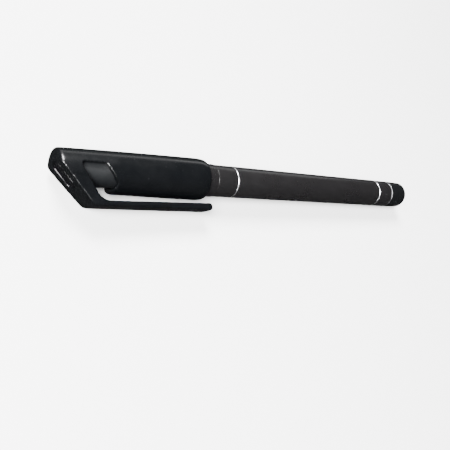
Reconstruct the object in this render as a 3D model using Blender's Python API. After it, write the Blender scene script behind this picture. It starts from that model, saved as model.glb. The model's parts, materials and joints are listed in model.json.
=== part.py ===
"""Capped counterfeit detector pen, lying on a table on its cap, pocket clip and tail.

Everything is modelled in the pen's own frame: X runs along the axis from the crown of the cap
(x = 0) to the tail, and the pocket clip is on the -Z side. An empty then lays the pen down.
"""

import math

import bmesh
import bpy
from mathutils import Vector

MM = 0.001
GAP = 0.3 * MM  # clearance between neighbouring mouldings

# Whole pen
PEN_LENGTH = 140.5 * MM
BARREL_RADIUS = 4.83 * MM
BARREL_WALL = 0.7 * MM
SIDES = 48

# Cap
CAP_LENGTH = 44.7 * MM
CAP_CROWN_RADIUS = 5.45 * MM
CAP_MOUTH_RADIUS = 6.2 * MM
CAP_SWELL = 1.6  # how quickly the radius grows from crown to mouth
CROWN_ROUND = 0.8 * MM
LIP_REACH = 3.0 * MM  # length over which the mouth turns in before its rounded edge
LIP_DROP = 0.35 * MM
LIP_ROUND = 0.6 * MM
MOUTH_BORE = 5.15 * MM
SLEEVE_BORE = 4.4 * MM
BORE_STEP_X = 22.0 * MM

# Slanted end face and the band behind it that carries the clip
SLANT = 0.855  # axial advance for each unit of distance towards the clip
FACE_X = 1.0 * MM  # where the end face crosses the axis
BAND_BACK_X = 5.95 * MM  # where the back of the band crosses the axis
BAND_BACK_SLANT = 0.633
BAND_TOP_DROP = -1.0 * MM
BAND_EXTRA = 1.0 * MM  # depth left on the band for the window cutter to trim
ROOT_DROP = 7.6 * MM  # distance of the clip's root below the axis, on the end face
WINDOW_TOP_DROP = -1.5 * MM
WINDOW_TOP_X = 11.8 * MM
WINDOW_CORNER = (15.5 * MM, 3.5 * MM)
WINDOW_LIP = (14.9 * MM, 5.1 * MM)
GAP_END_X = 16.6 * MM  # where the clearance in front of the bend meets the full cap

# Pocket clip
CLIP_INNER_DROP = 7.95 * MM
CLIP_OUTER_DROP = 9.75 * MM
CLIP_TIP_X = 46.5 * MM
CLIP_INNER_RISE = 0.018  # how much each face closes on the cap for each unit of length
CLIP_OUTER_RISE = 0.004
CLIP_ROOT_HALF_WIDTH = 4.4 * MM
CLIP_TIP_HALF_WIDTH = 3.4 * MM
CLIP_OUTER_BEND = 4.0 * MM
CLIP_INNER_BEND = 3.9 * MM
CLIP_EDGE_ROUND = 0.35 * MM
CLIP_DOME_START = 20.0  # fall of the outer face at its sides, per metre of half width squared
CLIP_DOME_END = 55.0
CLIP_PLAN_START_X = 6.0 * MM
CLIP_TAPER_START_X = 13.0 * MM
CLIP_TIP_PLAN_ROUND = 0.5 * MM
CLIP_TIP_SIDE_ROUND = 0.95 * MM

# Inner sleeve
SLEEVE_RADIUS = 4.1 * MM
SLEEVE_WALL = 0.6 * MM
SLEEVE_END_X = 3.3 * MM
SLEEVE_FLAT_X = 1.8 * MM
SLEEVE_FLOOR = 0.8 * MM
FLANGE_RADIUS = 4.85 * MM
FLANGE_THICKNESS = 1.2 * MM

# Inlay in the end face
INLAY_LENGTH = 8.0 * MM
INLAY_HALF_WIDTH = 2.0 * MM
INLAY_THICKNESS = 0.5 * MM
INLAY_CENTRE_DROP = 1.7 * MM

# Writing end
NIB_TIP_X = 10.5 * MM
NIB_RADIUS = 1.4 * MM
NIB_TIP_RADIUS = 0.5 * MM
NIB_TAPER = 2.6 * MM
NIB_LENGTH = 20.5 * MM
NOSE_X = 16.0 * MM
NOSE_RADIUS = 3.2 * MM
NOSE_LENGTH = 8.5 * MM
GRIP_FRONT_RADIUS = 4.1 * MM
GRIP_RADIUS = 4.5 * MM
SECTION_BORE = 3.2 * MM
HOLDER_RADIUS = 2.3 * MM
HOLDER_LENGTH = 8.0 * MM
TENON_RADIUS = 3.8 * MM
TENON_LENGTH = 7.5 * MM

# Rings
STOP_RING_WIDTH = 2.8 * MM
STOP_RING_RADIUS = 4.95 * MM
STOP_RING_SEAT_DEPTH = 0.4 * MM  # the ring's bore lies this far inside the grip's surface
FRONT_RING_X = 55.4 * MM
REAR_RING_X = 123.5 * MM
TAIL_RING_X = 131.1 * MM
TRIM_RING_WIDTH = 0.5 * MM
TRIM_RING_RADIUS = 4.88 * MM

# Ink store
RESERVOIR_RADIUS = 2.5 * MM
FILM_INNER_RADIUS = 2.7 * MM
FILM_RADIUS = 2.9 * MM
RESERVOIR_START_X = 27.0 * MM
RESERVOIR_END_X = 117.0 * MM

# Tail
TAIL_END_RADIUS = 4.74 * MM
TAIL_ROUND = 1.8 * MM
TAIL_END_THICKNESS = 6.0 * MM
PLUG_TENON_RADIUS = 3.75 * MM
PLUG_TENON_START_X = 118.0 * MM
PLUG_TENON_WALL = 0.9 * MM


def clear_scene():
    for old in list(bpy.data.objects):
        bpy.data.objects.remove(old, do_unlink=True)


def plastic(name, colour, roughness, metallic=0.0):
    material = bpy.data.materials.new(name)
    material.use_nodes = True
    shader = material.node_tree.nodes["Principled BSDF"]
    shader.inputs["Base Color"].default_value = (*colour, 1.0)
    shader.inputs["Roughness"].default_value = roughness
    shader.inputs["Metallic"].default_value = metallic
    return material


def make_materials():
    return {
        "cap": plastic("black_cap_plastic", (0.022, 0.022, 0.025), 0.28),
        "barrel": plastic("black_barrel_plastic", (0.026, 0.025, 0.026), 0.36),
        "lining": plastic("grey_lining_plastic", (0.050, 0.052, 0.056), 0.40),
        "inlay": plastic("gloss_inlay", (0.012, 0.012, 0.014), 0.10),
        "ring": plastic("silver_trim", (0.78, 0.78, 0.80), 0.22, 1.0),
        "nib": plastic("amber_fibre", (0.42, 0.17, 0.03), 0.85),
        "reservoir": plastic("inked_fibre", (0.50, 0.24, 0.06), 0.90),
        "film": plastic("clear_film", (0.80, 0.80, 0.78), 0.25),
    }


def cap_radius(x):
    """Outer radius of the cap at a distance x from the crown."""
    remaining = max(0.0, 1.0 - x / CAP_LENGTH)
    turned_in = max(0.0, 1.0 - (CAP_LENGTH - x) / LIP_REACH)
    swell = (CAP_MOUTH_RADIUS - CAP_CROWN_RADIUS) * remaining**CAP_SWELL
    return CAP_MOUTH_RADIUS - swell - LIP_DROP * turned_in**2


def face_x(drop):
    """Axial position of the slanted end face at a distance below the axis."""
    return FACE_X + SLANT * drop


def band_back_x(drop):
    """Axial position of the back of the band at a distance below the axis."""
    return BAND_BACK_X + BAND_BACK_SLANT * drop


def clip_drop(x, drop_at_bend, rise):
    """Distance of one face of the clip arm below the axis."""
    return drop_at_bend - rise * max(0.0, x - face_x(CLIP_OUTER_DROP))


def arc(centre, radius, start, end, steps=5):
    """Points of an arc as (along, across) pairs; the angles are in degrees."""
    points = []
    for step in range(steps + 1):
        angle = math.radians(start + (end - start) * step / steps)
        points.append((centre[0] + radius * math.cos(angle), centre[1] + radius * math.sin(angle)))
    return points


def rounded_outline(corners, steps=5):
    """Closed outline through (a, b, radius) corners, each rounded by its radius."""
    points = []
    for index, (a, b, radius) in enumerate(corners):
        here = Vector((a, b))
        if radius == 0.0:
            points.append(here)
            continue
        to_before = (Vector(corners[index - 1][:2]) - here).normalized()
        to_after = (Vector(corners[(index + 1) % len(corners)][:2]) - here).normalized()
        half = to_before.angle(to_after) / 2
        centre = here + (to_before + to_after).normalized() * radius / math.sin(half)
        start = here + to_before * radius / math.tan(half) - centre
        end = here + to_after * radius / math.tan(half) - centre
        first = math.degrees(math.atan2(start.y, start.x))
        sweep = math.degrees(math.atan2(start.cross(end), start.dot(end)))
        points += arc(centre, radius, first, first + sweep, steps)
    return points


def finish_mesh(name, mesh_builder):
    bmesh.ops.remove_doubles(mesh_builder, verts=mesh_builder.verts, dist=1e-7)
    bmesh.ops.recalc_face_normals(mesh_builder, faces=mesh_builder.faces)
    mesh = bpy.data.meshes.new(name)
    mesh_builder.to_mesh(mesh)
    mesh_builder.free()
    mesh.shade_smooth()
    mesh.set_sharp_from_angle(angle=math.radians(30))
    return mesh


def add_object(name, mesh, pen, material=None, origin=(0.0, 0.0, 0.0)):
    obj = bpy.data.objects.new(name, mesh)
    bpy.context.scene.collection.objects.link(obj)
    obj.parent = pen
    obj.location = origin
    if material is None:
        obj.hide_render = True
        obj.display_type = "WIRE"
    else:
        mesh.materials.append(material)
    return obj


def turned_mesh(name, profile, sides=SIDES, move=None):
    """Turn an (x, radius) profile about the axis; a profile that stays off the axis is a ring."""
    builder = bmesh.new()
    verts = [builder.verts.new((x, 0.0, radius)) for x, radius in profile]
    edges = [builder.edges.new(pair) for pair in zip(verts, verts[1:])]
    if profile[0][1] > 0.0:
        edges.append(builder.edges.new((verts[-1], verts[0])))
    bmesh.ops.spin(
        builder,
        geom=verts + edges,
        cent=(0.0, 0.0, 0.0),
        axis=(1.0, 0.0, 0.0),
        angle=math.tau,
        steps=sides,
        use_merge=True,
    )
    if move is not None:
        for vert in builder.verts:
            move(vert.co)
    return finish_mesh(name, builder)


def extruded_mesh(name, outline, place, half_depth):
    """Extrude a closed outline both ways; place(a, b, depth) turns its points into the frame."""
    builder = bmesh.new()
    near = [builder.verts.new(place(a, b, -half_depth)) for a, b in outline]
    far = [builder.verts.new(place(a, b, half_depth)) for a, b in outline]
    builder.faces.new(near)
    builder.faces.new(far)
    for index in range(len(outline)):
        builder.faces.new((near[index - 1], near[index], far[index], far[index - 1]))
    return finish_mesh(name, builder)


def from_side(along, drop, across):
    """Outline drawn in side view, as distance along the axis and drop below it."""
    return (along, across, -drop)


def from_above(along, across, drop):
    """Outline drawn in plan view, as distance along the axis and across it."""
    return (along, across, -drop)


def from_front(drop, across, along):
    """Outline drawn in end view, as drop below the axis and distance across it."""
    return (along, across, -drop)


def boolean(target, operation, other):
    modifier = target.modifiers.new(f"{operation.lower()} {other.name}", "BOOLEAN")
    modifier.operation = operation
    modifier.solver = "EXACT"
    modifier.object = other


def slant_sleeve_end(co):
    """Slope the closed end of the sleeve, or of its bore, to run along the end face."""
    if co.x < SLEEVE_END_X + 2 * SLEEVE_FLOOR:
        offset = co.x - SLEEVE_END_X
        slanted = SLEEVE_END_X - SLANT * co.z
        co.x = max(SLEEVE_FLAT_X, slanted) + offset


def cap_blank():
    """Solid turned outside of the cap, before the head and the bores are made."""
    profile = [(0.0, 0.0)]
    crown_centre = (CROWN_ROUND, cap_radius(CROWN_ROUND) - CROWN_ROUND)
    profile += arc(crown_centre, CROWN_ROUND, 180, 90)
    steps = 20
    straight = CAP_LENGTH - LIP_ROUND - CROWN_ROUND
    for step in range(1, steps + 1):
        x = CROWN_ROUND + straight * step / steps
        profile.append((x, cap_radius(x)))
    lip_centre = (CAP_LENGTH - LIP_ROUND, cap_radius(CAP_LENGTH - LIP_ROUND) - LIP_ROUND)
    profile += arc(lip_centre, LIP_ROUND, 79, 0)
    profile.append((CAP_LENGTH, 0.0))
    return turned_mesh("cap_shell", profile)


def window_cutter(pen):
    """Slanted side window over the inner sleeve, running out into the space before the bend."""
    beyond = CAP_MOUTH_RADIUS + 2 * MM
    outline = [
        (band_back_x(WINDOW_TOP_DROP), WINDOW_TOP_DROP, 0.5 * MM),
        (WINDOW_TOP_X, WINDOW_TOP_DROP, 0.3 * MM),
        (*WINDOW_CORNER, 0.9 * MM),
        (*WINDOW_LIP, 0.3 * MM),
        (GAP_END_X, cap_radius(GAP_END_X) + 0.4 * MM, 0.0),
        (GAP_END_X, beyond, 0.0),
        (band_back_x(beyond), beyond, 0.0),
    ]
    mesh = extruded_mesh("window_cutter", rounded_outline(outline), from_side, 8 * MM)
    return add_object("window_cutter", mesh, pen)


def band_root():
    """Outer and inner ends of the cut between the band and the clip, as (along, drop)."""
    outer = Vector((face_x(ROOT_DROP), ROOT_DROP))
    normal = Vector((1.0, -SLANT)).normalized()
    reach = (band_back_x(ROOT_DROP) - outer.x) / (normal.x - BAND_BACK_SLANT * normal.y)
    return outer, outer + normal * reach


def band(pen):
    """Slanted band: its side view crossed with its front view."""
    outer, inner = band_root()
    inner += (inner - outer).normalized() * BAND_EXTRA
    side = [
        (face_x(BAND_TOP_DROP), BAND_TOP_DROP),
        outer,
        inner,
        (band_back_x(BAND_TOP_DROP) + BAND_EXTRA, BAND_TOP_DROP),
    ]
    flank = [
        (-3.2 * MM, 3.4 * MM),
        (0.4 * MM, 5.36 * MM),
        (4.0 * MM, 5.12 * MM),
        (9.6 * MM, CLIP_ROOT_HALF_WIDTH),
    ]
    front = flank + [(drop, -across) for drop, across in reversed(flank)]
    front_mesh = extruded_mesh("band_front_view", front, from_front, 14 * MM)
    front_object = add_object("band_front_view", front_mesh, pen)
    side_object = add_object("band", extruded_mesh("band", side, from_side, 8 * MM), pen)
    boolean(side_object, "INTERSECT", front_object)
    return side_object


def end_face_cutter(pen):
    """Block whose slanted side leaves the end face."""
    top, bottom = -9.0 * MM, 14.0 * MM
    outline = [(face_x(top), top), (face_x(bottom), bottom), (-12 * MM, bottom), (-12 * MM, top)]
    mesh = extruded_mesh("end_face_cutter", outline, from_side, 9 * MM)
    return add_object("end_face_cutter", mesh, pen)


def mouth_bore_cutter(pen):
    profile = [
        (BORE_STEP_X, 0.0),
        (BORE_STEP_X, MOUTH_BORE),
        (CAP_LENGTH + 2 * MM, MOUTH_BORE),
        (CAP_LENGTH + 2 * MM, 0.0),
    ]
    return add_object("mouth_bore_cutter", turned_mesh("mouth_bore_cutter", profile), pen)


def sleeve_bore_cutter(pen):
    start = SLEEVE_END_X - GAP
    profile = [
        (start, 0.0),
        (start, SLEEVE_BORE),
        (BORE_STEP_X + 1 * MM, SLEEVE_BORE),
        (BORE_STEP_X + 1 * MM, 0.0),
    ]
    mesh = turned_mesh("sleeve_bore_cutter", profile, move=slant_sleeve_end)
    return add_object("sleeve_bore_cutter", mesh, pen)


def inlay_outline(margin):
    reach = INLAY_LENGTH / 2 + margin
    half = INLAY_HALF_WIDTH + margin
    corner = half * 0.7
    corners = [(-reach, -half, corner), (reach, -half, corner), (reach, half, corner)]
    return rounded_outline(corners + [(-reach, half, corner)], steps=4)


def on_end_face(along_face, across, depth):
    """Point on the end face: distance down the slant, across it, and into the cap."""
    down = Vector((SLANT, 0.0, -1.0)).normalized()
    inward = Vector((1.0, 0.0, SLANT)).normalized()
    centre = Vector((face_x(INLAY_CENTRE_DROP), 0.0, -INLAY_CENTRE_DROP))
    return centre + down * along_face + Vector((0.0, across, 0.0)) + inward * depth


def inlay_recess_cutter(pen):
    depth = INLAY_THICKNESS + GAP
    mesh = extruded_mesh("inlay_recess_cutter", inlay_outline(GAP), on_end_face, depth)
    return add_object("inlay_recess_cutter", mesh, pen)


def cap_shell(pen, materials):
    """Outer moulding of the cap: turned body, slanted band, window, bores and inlay recess."""
    shell = add_object("cap_shell", cap_blank(), pen, materials["cap"])
    boolean(shell, "UNION", band(pen))
    boolean(shell, "DIFFERENCE", window_cutter(pen))
    boolean(shell, "DIFFERENCE", end_face_cutter(pen))
    boolean(shell, "DIFFERENCE", mouth_bore_cutter(pen))
    boolean(shell, "DIFFERENCE", sleeve_bore_cutter(pen))
    boolean(shell, "DIFFERENCE", inlay_recess_cutter(pen))


def crown_inlay(pen, materials):
    """Gloss plate set in the end face."""
    middle = INLAY_THICKNESS / 2

    def place(along_face, across, depth):
        return on_end_face(along_face, across, depth + middle)

    mesh = extruded_mesh("crown_inlay", inlay_outline(0.0), place, middle)
    add_object("crown_inlay", mesh, pen, materials["inlay"])


def clip_dome_fall(x, across):
    """How far the outer face of the clip falls back at its sides."""
    share = (x - CLIP_PLAN_START_X) / (CLIP_TIP_X - CLIP_PLAN_START_X)
    return (CLIP_DOME_START + (CLIP_DOME_END - CLIP_DOME_START) * share) * across**2


def clip_dome(pen, hinge):
    """Block whose lower side is domed across, for the outer face of the clip."""
    builder = bmesh.new()
    half_width = CLIP_ROOT_HALF_WIDTH + 1 * MM
    rows = []
    for station in range(9):
        x = CLIP_PLAN_START_X - 1 * MM + (CLIP_TIP_X - CLIP_PLAN_START_X + 2 * MM) * station / 8
        row = [Vector((x, half_width, 0.0)), Vector((x, -half_width, 0.0))]
        for step in range(13):
            across = half_width * (step / 6 - 1)
            row.append(Vector((x, across, -CLIP_OUTER_DROP + clip_dome_fall(x, across))))
        rows.append([builder.verts.new(point - hinge) for point in row])
    for first, second in zip(rows, rows[1:]):
        for index in range(len(first)):
            builder.faces.new((first[index - 1], first[index], second[index], second[index - 1]))
    builder.faces.new(rows[0])
    builder.faces.new(rows[-1])
    return add_object("clip_dome", finish_mesh("clip_dome", builder), pen, origin=hinge)


def pocket_clip(pen, materials):
    """Springy arm. It turns about its root, on the outside of the slanted band."""
    outer, inner = band_root()
    outer_start = outer + Vector((SLANT, 1.0)).normalized() * GAP
    inner_start = inner + Vector((BAND_BACK_SLANT, 1.0)).normalized() * GAP
    tip_outer = clip_drop(CLIP_TIP_X, CLIP_OUTER_DROP, CLIP_OUTER_RISE)
    tip_inner = clip_drop(CLIP_TIP_X, CLIP_INNER_DROP, CLIP_INNER_RISE)
    side = [
        (*outer_start, 0.0),
        (face_x(CLIP_OUTER_DROP), CLIP_OUTER_DROP, CLIP_OUTER_BEND),
        (CLIP_TIP_X, tip_outer, CLIP_TIP_SIDE_ROUND),
        (CLIP_TIP_X, tip_inner, CLIP_TIP_SIDE_ROUND),
        (band_back_x(CLIP_INNER_DROP), CLIP_INNER_DROP, CLIP_INNER_BEND),
        (*inner_start, 0.0),
    ]
    half_plan = [
        (CLIP_PLAN_START_X, CLIP_ROOT_HALF_WIDTH, 0.0),
        (CLIP_TAPER_START_X, CLIP_ROOT_HALF_WIDTH, 0.0),
        (CLIP_TIP_X, CLIP_TIP_HALF_WIDTH, CLIP_TIP_PLAN_ROUND),
    ]
    plan = half_plan + [(x, -across, round_by) for x, across, round_by in reversed(half_plan)]
    hinge = Vector((outer_start.x, 0.0, -outer_start.y))

    def side_from_hinge(along, drop, across):
        return Vector(from_side(along, drop, across)) - hinge

    def plan_from_hinge(along, across, drop):
        return Vector(from_above(along, across, drop)) - hinge

    side_mesh = extruded_mesh("pocket_clip", rounded_outline(side), side_from_hinge, 8 * MM)
    plan_mesh = extruded_mesh("clip_plan", rounded_outline(plan), plan_from_hinge, 20 * MM)
    clip = add_object("pocket_clip", side_mesh, pen, materials["cap"], hinge)
    boolean(clip, "INTERSECT", add_object("clip_plan_view", plan_mesh, pen, origin=hinge))
    boolean(clip, "INTERSECT", clip_dome(pen, hinge))
    bevel = clip.modifiers.new("edge round", "BEVEL")
    bevel.width = CLIP_EDGE_ROUND
    bevel.segments = 2
    bevel.limit_method = "ANGLE"
    bevel.angle_limit = math.radians(50)


def cap_inner_sleeve(pen, materials):
    """Closed lining tube that seals round the nose of the section."""
    flange_x = BORE_STEP_X + GAP
    open_x = flange_x + FLANGE_THICKNESS
    inside = SLEEVE_RADIUS - SLEEVE_WALL
    profile = [
        (SLEEVE_END_X, 0.0),
        (SLEEVE_END_X, SLEEVE_RADIUS),
        (flange_x, SLEEVE_RADIUS),
        (flange_x, FLANGE_RADIUS),
        (open_x, FLANGE_RADIUS),
        (open_x, inside),
        (SLEEVE_END_X + SLEEVE_FLOOR, inside),
        (SLEEVE_END_X + SLEEVE_FLOOR, 0.0),
    ]
    mesh = turned_mesh("cap_inner_sleeve", profile, move=slant_sleeve_end)
    add_object("cap_inner_sleeve", mesh, pen, materials["lining"])


def cap_stop_ring(pen, materials):
    """Ring against which the mouth of the cap comes to rest."""
    start = CAP_LENGTH + GAP
    end = start + STOP_RING_WIDTH
    inside = GRIP_RADIUS - STOP_RING_SEAT_DEPTH
    chamfer = 0.15 * MM
    profile = [
        (start, inside),
        (start, STOP_RING_RADIUS - chamfer),
        (start + chamfer, STOP_RING_RADIUS),
        (end - chamfer, STOP_RING_RADIUS),
        (end, STOP_RING_RADIUS - chamfer),
        (end, inside),
    ]
    add_object("cap_stop_ring", turned_mesh("cap_stop_ring", profile), pen, materials["barrel"])


def front_section(pen, materials):
    """Grip: nose, shoulder, grip length, seat of the stop ring, collar and rear tenon."""
    nose_end = NOSE_X + NOSE_LENGTH
    ring_start = CAP_LENGTH + GAP
    ring_seat = GRIP_RADIUS - STOP_RING_SEAT_DEPTH - GAP
    ring_end = ring_start + STOP_RING_WIDTH + GAP
    shoulder = FRONT_RING_X - TRIM_RING_WIDTH / 2 - GAP
    tenon_end = shoulder + TENON_LENGTH
    holder_seat = NOSE_X + HOLDER_LENGTH + GAP
    profile = [
        (NOSE_X, HOLDER_RADIUS + GAP),
        (NOSE_X, NOSE_RADIUS - 0.5 * MM),
        (NOSE_X + 0.8 * MM, NOSE_RADIUS),
        (nose_end - 1.0 * MM, NOSE_RADIUS),
        (nose_end, GRIP_FRONT_RADIUS),
        (ring_start - 6 * MM, GRIP_RADIUS),
        (ring_start - GAP, GRIP_RADIUS),
        (ring_start - GAP, ring_seat),
        (ring_end, ring_seat),
        (ring_end, BARREL_RADIUS),
        (shoulder, BARREL_RADIUS),
        (shoulder, TENON_RADIUS),
        (tenon_end, TENON_RADIUS),
        (tenon_end, SECTION_BORE),
        (holder_seat, SECTION_BORE),
        (holder_seat, HOLDER_RADIUS + GAP),
    ]
    add_object("front_section", turned_mesh("front_section", profile), pen, materials["barrel"])


def nib_holder(pen, materials):
    """Bush pressed into the nose, which grips the nib."""
    start = NOSE_X - 0.6 * MM
    end = NOSE_X + HOLDER_LENGTH
    profile = [
        (start, NIB_RADIUS + GAP),
        (start, HOLDER_RADIUS - 0.3 * MM),
        (NOSE_X, HOLDER_RADIUS),
        (end, HOLDER_RADIUS),
        (end, NIB_RADIUS + GAP),
    ]
    add_object("nib_holder", turned_mesh("nib_holder", profile, 32), pen, materials["lining"])


def fibre_nib(pen, materials):
    """Bullet nib of pressed fibre whose rear end reaches into the reservoir."""
    tip_centre = (NIB_TIP_X + NIB_TIP_RADIUS, 0.0)
    profile = arc(tip_centre, NIB_TIP_RADIUS, 180, 110, steps=4)
    profile[0] = (NIB_TIP_X, 0.0)
    end = NIB_TIP_X + NIB_LENGTH
    profile += [
        (NIB_TIP_X + NIB_TAPER, NIB_RADIUS),
        (end - 2.0 * MM, NIB_RADIUS),
        (end, NIB_RADIUS * 0.6),
        (end, 0.0),
    ]
    add_object("fibre_nib", turned_mesh("fibre_nib", profile, 32), pen, materials["nib"])


def ink_reservoir(pen, materials):
    """Fibre core that holds the ink, hollowed at the front for the nib."""
    socket_end = NIB_TIP_X + NIB_LENGTH + GAP
    socket = NIB_RADIUS + GAP
    profile = [
        (socket_end, 0.0),
        (socket_end, socket),
        (RESERVOIR_START_X, socket),
        (RESERVOIR_START_X, RESERVOIR_RADIUS),
        (RESERVOIR_END_X, RESERVOIR_RADIUS),
        (RESERVOIR_END_X, 0.0),
    ]
    mesh = turned_mesh("ink_reservoir", profile, 32)
    add_object("ink_reservoir", mesh, pen, materials["reservoir"])


def reservoir_film(pen, materials):
    profile = [
        (RESERVOIR_START_X, FILM_INNER_RADIUS),
        (RESERVOIR_START_X, FILM_RADIUS),
        (RESERVOIR_END_X, FILM_RADIUS),
        (RESERVOIR_END_X, FILM_INNER_RADIUS),
    ]
    mesh = turned_mesh("reservoir_film", profile, 32)
    add_object("reservoir_film", mesh, pen, materials["film"])


def tube_profile(start, end, outer, inner):
    return [(start, inner), (start, outer), (end, outer), (end, inner)]


def barrel_tube(pen, materials):
    start = FRONT_RING_X + TRIM_RING_WIDTH / 2 + GAP
    end = REAR_RING_X - TRIM_RING_WIDTH / 2 - GAP
    profile = tube_profile(start, end, BARREL_RADIUS, BARREL_RADIUS - BARREL_WALL)
    add_object("barrel_tube", turned_mesh("barrel_tube", profile), pen, materials["barrel"])


def tail_sleeve(pen, materials):
    start = REAR_RING_X + TRIM_RING_WIDTH / 2 + GAP
    end = TAIL_RING_X - TRIM_RING_WIDTH / 2 - GAP
    profile = tube_profile(start, end, BARREL_RADIUS, BARREL_RADIUS - BARREL_WALL)
    add_object("tail_sleeve", turned_mesh("tail_sleeve", profile), pen, materials["barrel"])


def trim_rings(pen, materials):
    half = TRIM_RING_WIDTH / 2
    places = (
        ("front_trim_ring", FRONT_RING_X, TENON_RADIUS + GAP),
        ("rear_trim_ring", REAR_RING_X, PLUG_TENON_RADIUS + GAP),
        ("tail_trim_ring", TAIL_RING_X, PLUG_TENON_RADIUS + GAP),
    )
    for name, x, inside in places:
        profile = tube_profile(x - half, x + half, TRIM_RING_RADIUS, inside)
        add_object(name, turned_mesh(name, profile), pen, materials["ring"])


def tail_plug(pen, materials):
    """Rounded end of the pen, on a hollow tenon that reaches through to the barrel."""
    head = TAIL_RING_X + TRIM_RING_WIDTH / 2 + GAP
    centre = (PEN_LENGTH - TAIL_ROUND, TAIL_END_RADIUS - TAIL_ROUND)
    inside = PLUG_TENON_RADIUS - PLUG_TENON_WALL
    solid_from = PEN_LENGTH - TAIL_END_THICKNESS
    profile = [
        (solid_from, 0.0),
        (solid_from, inside),
        (PLUG_TENON_START_X, inside),
        (PLUG_TENON_START_X, PLUG_TENON_RADIUS),
        (head, PLUG_TENON_RADIUS),
        (head, BARREL_RADIUS),
    ]
    profile += arc(centre, TAIL_ROUND, 90, 0, steps=8)
    profile.append((PEN_LENGTH, 0.0))
    add_object("tail_plug", turned_mesh("tail_plug", profile), pen, materials["barrel"])


def rest_angles():
    """Pitch and roll, in radians, at which lip, clip edge and tail all meet the table."""
    lip_x = CAP_LENGTH - LIP_REACH
    pitch_slope = (CAP_MOUTH_RADIUS - TRIM_RING_RADIUS) / (TAIL_RING_X - lip_x)
    rolls = []
    stations = (
        (face_x(CLIP_OUTER_DROP) + 2 * MM, CLIP_ROOT_HALF_WIDTH),
        (CLIP_TIP_X - 3 * MM, CLIP_TIP_HALF_WIDTH),
    )
    for x, half_width in stations:
        height = CAP_MOUTH_RADIUS + pitch_slope * (lip_x - x) - CLIP_EDGE_ROUND
        for step in range(11):
            across = (half_width - CLIP_EDGE_ROUND) * step / 10
            drop = clip_drop(x, CLIP_OUTER_DROP, CLIP_OUTER_RISE)
            drop -= clip_dome_fall(x, across) + CLIP_EDGE_ROUND
            reach = math.hypot(drop, across)
            rolls.append(math.asin(height / reach) - math.atan(across / drop))
    return math.atan(pitch_slope), min(rolls)


def lay_down():
    """Empty that carries the pen: clip towards -Y and a little down, tail towards +X."""
    pitch, roll = rest_angles()
    pen = bpy.data.objects.new("pen_at_rest", None)
    bpy.context.scene.collection.objects.link(pen)
    pen.empty_display_size = 0.02
    pen.rotation_euler = (roll - math.pi / 2, pitch, 0.0)
    return pen


def settle(pen):
    """Shift the pen so that its bounding box is centred over the origin and stands on z = 0."""
    graph = bpy.context.evaluated_depsgraph_get()
    corners = []
    for obj in pen.children:
        if obj.hide_render:
            continue
        evaluated = obj.evaluated_get(graph)
        corners += [evaluated.matrix_world @ vert.co for vert in evaluated.data.vertices]
    low = Vector([min(corner[axis] for corner in corners) for axis in range(3)])
    high = Vector([max(corner[axis] for corner in corners) for axis in range(3)])
    pen.location -= Vector(((low.x + high.x) / 2, (low.y + high.y) / 2, low.z))


def main():
    clear_scene()
    pen = lay_down()
    materials = make_materials()
    builders = (
        cap_shell,
        crown_inlay,
        pocket_clip,
        cap_inner_sleeve,
        cap_stop_ring,
        front_section,
        nib_holder,
        fibre_nib,
        ink_reservoir,
        reservoir_film,
        barrel_tube,
        tail_sleeve,
        trim_rings,
        tail_plug,
    )
    for build in builders:
        build(pen, materials)
    settle(pen)


main()
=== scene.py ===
import json
import math

import bmesh
import bpy
import numpy as np
from mathutils import Euler, Matrix, Vector


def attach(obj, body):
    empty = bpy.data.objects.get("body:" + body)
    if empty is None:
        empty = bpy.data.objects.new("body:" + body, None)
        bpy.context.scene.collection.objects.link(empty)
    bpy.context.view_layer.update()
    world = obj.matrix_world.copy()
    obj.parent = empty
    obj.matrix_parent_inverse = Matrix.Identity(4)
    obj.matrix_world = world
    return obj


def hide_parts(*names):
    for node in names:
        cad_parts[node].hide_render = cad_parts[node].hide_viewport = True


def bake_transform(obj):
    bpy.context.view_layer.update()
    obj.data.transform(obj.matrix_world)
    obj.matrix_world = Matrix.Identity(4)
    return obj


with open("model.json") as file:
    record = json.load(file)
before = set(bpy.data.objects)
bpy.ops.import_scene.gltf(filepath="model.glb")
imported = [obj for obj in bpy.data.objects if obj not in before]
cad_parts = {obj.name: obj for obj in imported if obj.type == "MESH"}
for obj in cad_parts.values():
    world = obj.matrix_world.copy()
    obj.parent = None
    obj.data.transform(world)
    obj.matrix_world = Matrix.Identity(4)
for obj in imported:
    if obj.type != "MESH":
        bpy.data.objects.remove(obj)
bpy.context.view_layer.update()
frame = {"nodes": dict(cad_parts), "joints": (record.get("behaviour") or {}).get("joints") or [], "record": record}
print("frame loaded:", len(frame["nodes"]), "nodes")

# where the pen lies: x runs along it from the crown, y across it and z away from the clip, all in mm
penLength = 140.5
joints = {joint["name"]: joint for joint in frame["joints"]}
mounts = {mount["name"]: mount for mount in frame["record"]["mounts"]}
alongPen = -Vector(joints["cap_pull"]["axis"]).normalized()
acrossPen = Vector(joints["clip_flex"]["axis"]).normalized()
awayFromClip = alongPen.cross(acrossPen).normalized()
crownPoint = Vector(mounts["tail_end"]["pos_m"]) - alongPen * penLength / 1000
penAxes = Matrix((alongPen, acrossPen, awayFromClip)).transposed()
penMatrix = Matrix.Translation(crownPoint) @ penAxes.to_4x4()
mmToWorld = penMatrix @ Matrix.Scale(0.001, 4)
worldToMm = mmToWorld.inverted()


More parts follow.
